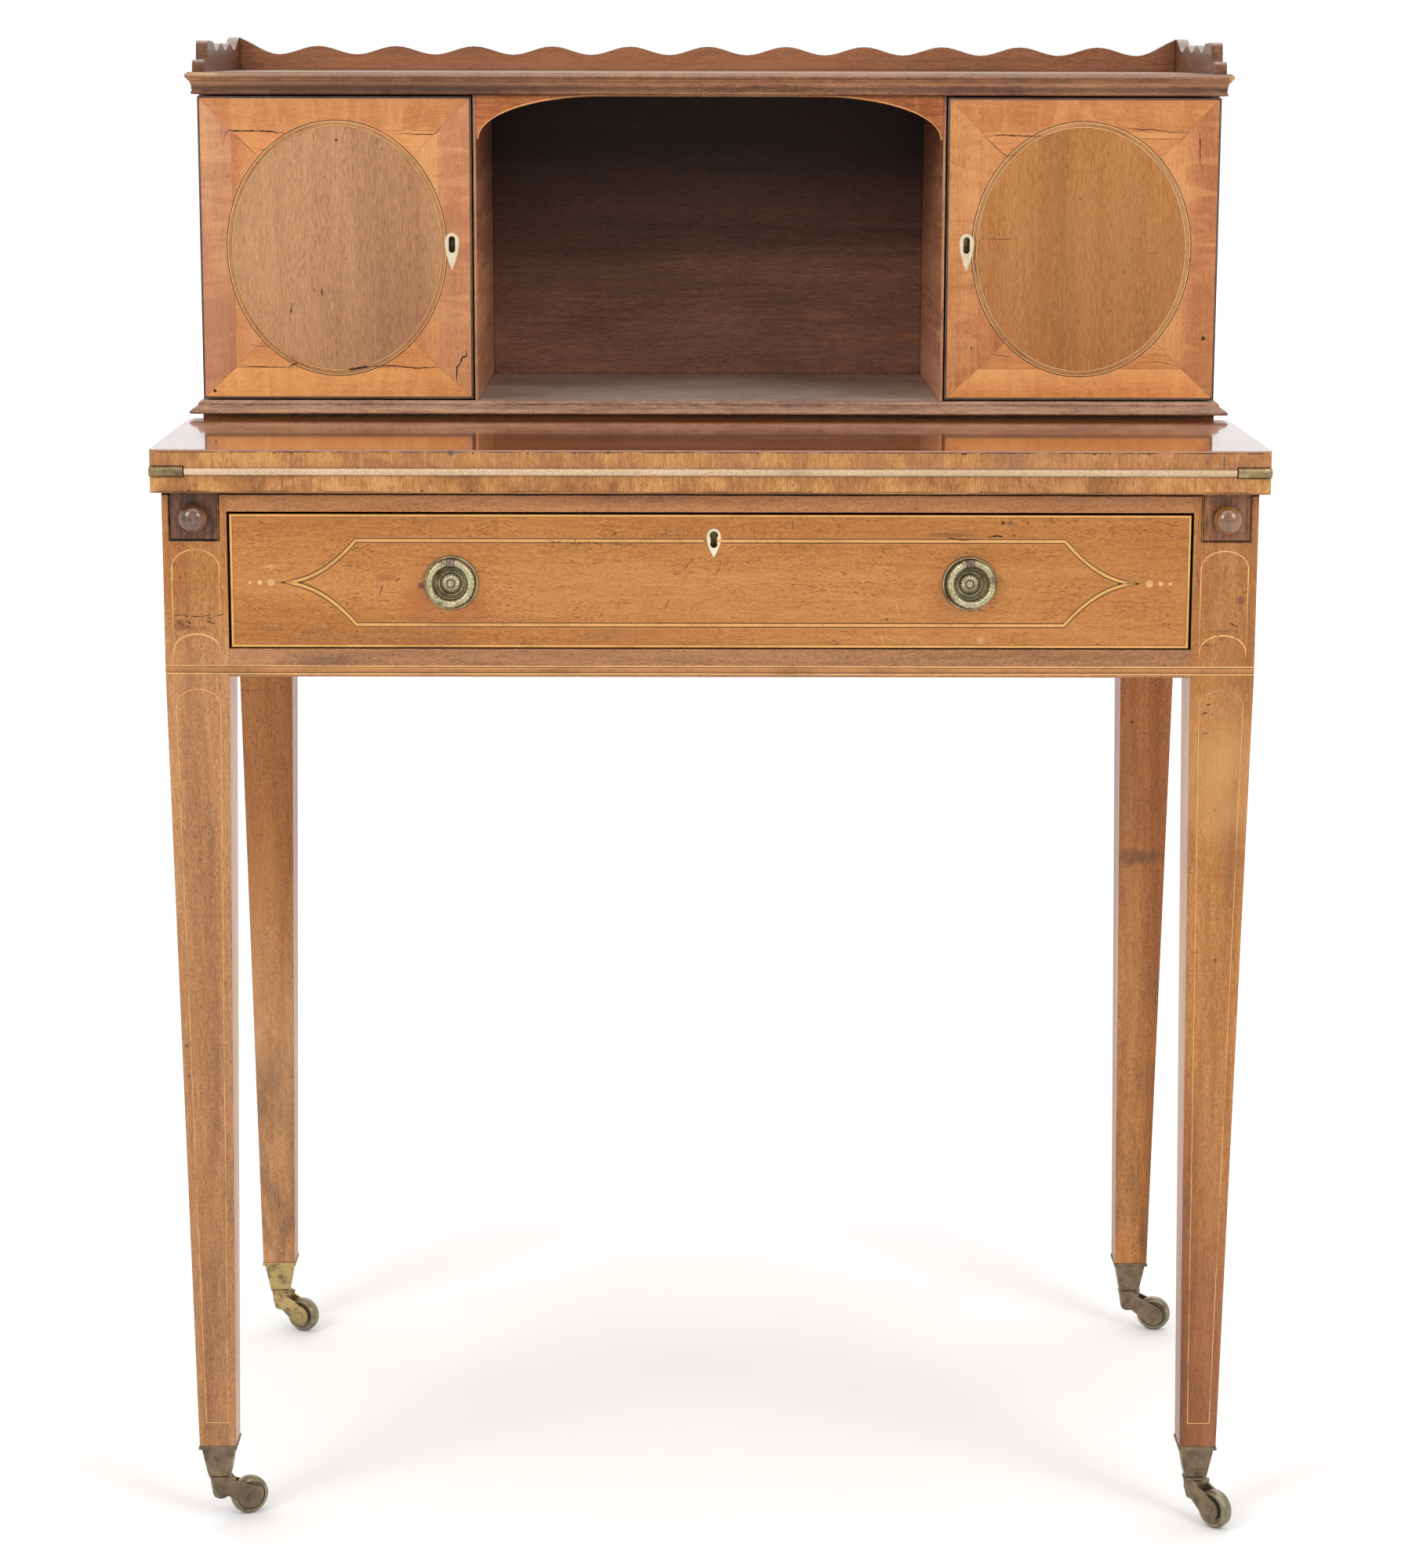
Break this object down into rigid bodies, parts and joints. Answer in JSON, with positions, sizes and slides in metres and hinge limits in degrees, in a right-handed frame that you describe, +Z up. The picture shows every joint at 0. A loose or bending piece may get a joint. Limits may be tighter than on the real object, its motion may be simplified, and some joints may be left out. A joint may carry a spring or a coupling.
{
  "type": "writing desk",
  "caption": "Lady's writing desk with a fold-over leaf, frieze drawer, slide-out supports, castors and a raised cabinet of two doors, a niche and a gallery.",
  "frame": {"origin": "on the floor, under the middle of the table's top", "axes": "+Z up, +X to the right as the user sees the desk, -Y towards the user"},
  "size_m": [0.7685, 0.4696, 1.0542],
  "materials": {
    "mahogany": "polished",
    "secondary_wood": "bare",
    "satinwood_veneer": "polished",
    "aged_brass": "aged",
    "bone": "satin",
    "lining_cloth": "matte"
  },
  "bodies": {
    "stand": {"leg_front_left": "mahogany", "leg_front_right": "mahogany", "leg_rear_left": "mahogany", "leg_rear_right": "mahogany", "castor_cups": "aged_brass", "side_rails": "mahogany", "back_rail": "secondary_wood", "front_top_rail": "mahogany", "front_bottom_rail": "mahogany", "drawer_runners": "secondary_wood", "loper_guides": "secondary_wood", "table_top": "mahogany", "bed_lining": "lining_cloth", "joint_lining": "lining_cloth", "leaf_hinges_fixed": "aged_brass", "cabinet_plinth": "secondary_wood", "cabinet_bottom": "mahogany", "cabinet_sides": "mahogany", "partitions": "mahogany", "cabinet_top": "mahogany", "cabinet_back": "secondary_wood", "base_moulding": "mahogany", "cornice": "mahogany", "arch_apron": "mahogany", "gallery_back": "mahogany", "gallery_left": "mahogany", "gallery_right": "mahogany", "door_pivot_plates": "aged_brass"},
    "leaf": {"fold_leaf": "mahogany", "leaf_lining": "lining_cloth", "leaf_hinges_moving": "aged_brass"},
    "loper_left": {"loper_left": "mahogany"},
    "loper_right": {"loper_right": "mahogany"},
    "drawer": {"drawer_front": "satinwood_veneer", "drawer_box": "secondary_wood", "drawer_bottom": "secondary_wood", "drawer_lock": "aged_brass", "drawer_escutcheon": "bone", "handle_plates": "aged_brass"},
    "drawer_bolt": {"drawer_lock_bolt": "aged_brass"},
    "ring_left": {"ring_left": "aged_brass"},
    "ring_right": {"ring_right": "aged_brass"},
    "door_left": {"door_left": "satinwood_veneer", "door_left_escutcheon": "bone", "door_left_sockets": "aged_brass", "door_left_lock": "aged_brass"},
    "door_right": {"door_right": "satinwood_veneer", "door_right_escutcheon": "bone", "door_right_sockets": "aged_brass", "door_right_lock": "aged_brass"},
    "door_left_bolt": {"door_left_bolt": "aged_brass"},
    "door_right_bolt": {"door_right_bolt": "aged_brass"},
    "fork_front_left": {"fork_front_left": "aged_brass"},
    "wheel_front_left": {"wheel_front_left": "aged_brass"},
    "fork_front_right": {"fork_front_right": "aged_brass"},
    "wheel_front_right": {"wheel_front_right": "aged_brass"},
    "fork_rear_left": {"fork_rear_left": "aged_brass"},
    "wheel_rear_left": {"wheel_rear_left": "aged_brass"},
    "fork_rear_right": {"fork_rear_right": "aged_brass"},
    "wheel_rear_right": {"wheel_rear_right": "aged_brass"}
  },
  "joints": [
    {"name": "leaf_hinge", "type": "hinge", "parent": "stand", "child": "leaf", "pos_m": [0, -0.23315, 0.76482], "axis": [1, 0, 0], "range_deg": [0, 180], "deforming": ["joint_lining"]},
    {"name": "loper_left_slide", "type": "slide", "parent": "stand", "child": "loper_left", "axis": [0, -1, 0], "range_m": [0, 0.19]},
    {"name": "loper_right_slide", "type": "slide", "parent": "stand", "child": "loper_right", "axis": [0, -1, 0], "range_m": [0, 0.19]},
    {"name": "drawer_slide", "type": "slide", "parent": "stand", "child": "drawer", "axis": [0, -1, 0], "range_m": [0, 0.3]},
    {"name": "drawer_bolt_slide", "type": "slide", "parent": "drawer", "child": "drawer_bolt", "axis": [0, 0, 1], "range_m": [0, 0.0055]},
    {"name": "ring_left_swing", "type": "hinge", "parent": "drawer", "child": "ring_left", "pos_m": [-0.1775, -0.2264, 0.7018], "axis": [-1, 0, 0], "range_deg": [0, 110]},
    {"name": "ring_right_swing", "type": "hinge", "parent": "drawer", "child": "ring_right", "pos_m": [0.1775, -0.2264, 0.7018], "axis": [-1, 0, 0], "range_deg": [0, 110]},
    {"name": "door_left_hinge", "type": "hinge", "parent": "stand", "child": "door_left", "pos_m": [-0.3658, 0.0042, 0.9], "axis": [0, 0, -1], "range_deg": [0, 95]},
    {"name": "door_right_hinge", "type": "hinge", "parent": "stand", "child": "door_right", "pos_m": [0.3658, 0.0042, 0.9], "axis": [0, 0, 1], "range_deg": [0, 95]},
    {"name": "door_left_bolt_slide", "type": "slide", "parent": "door_left", "child": "door_left_bolt", "axis": [1, 0, 0], "range_m": [0, 0.005]},
    {"name": "door_right_bolt_slide", "type": "slide", "parent": "door_right", "child": "door_right_bolt", "axis": [-1, 0, 0], "range_m": [0, 0.005]},
    {"name": "castor_front_left_swivel", "type": "hinge", "parent": "stand", "child": "fork_front_left", "pos_m": [-0.3525, -0.199, 0.03], "axis": [0, 0, 1], "continuous": true},
    {"name": "castor_front_left_roll", "type": "hinge", "parent": "fork_front_left", "child": "wheel_front_left", "pos_m": [-0.33334, -0.18924, 0.0138], "axis": [-0.454, 0.891, 0], "continuous": true},
    {"name": "castor_front_right_swivel", "type": "hinge", "parent": "stand", "child": "fork_front_right", "pos_m": [0.3525, -0.199, 0.03], "axis": [0, 0, 1], "continuous": true},
    {"name": "castor_front_right_roll", "type": "hinge", "parent": "fork_front_right", "child": "wheel_front_right", "pos_m": [0.36574, -0.21594, 0.0138], "axis": [0.788, 0.6157, 0], "continuous": true},
    {"name": "castor_rear_left_swivel", "type": "hinge", "parent": "stand", "child": "fork_rear_left", "pos_m": [-0.3525, 0.211, 0.03], "axis": [0, 0, 1], "continuous": true},
    {"name": "castor_rear_left_roll", "type": "hinge", "parent": "fork_rear_left", "child": "wheel_rear_left", "pos_m": [-0.33352, 0.20091, 0.0138], "axis": [0.4695, 0.8829, 0], "continuous": true},
    {"name": "castor_rear_right_swivel", "type": "hinge", "parent": "stand", "child": "fork_rear_right", "pos_m": [0.3525, 0.211, 0.03], "axis": [0, 0, 1], "continuous": true},
    {"name": "castor_rear_right_roll", "type": "hinge", "parent": "fork_rear_right", "child": "wheel_rear_right", "pos_m": [0.37327, 0.20544, 0.0138], "axis": [0.2588, 0.9659, 0], "continuous": true}
  ]
}
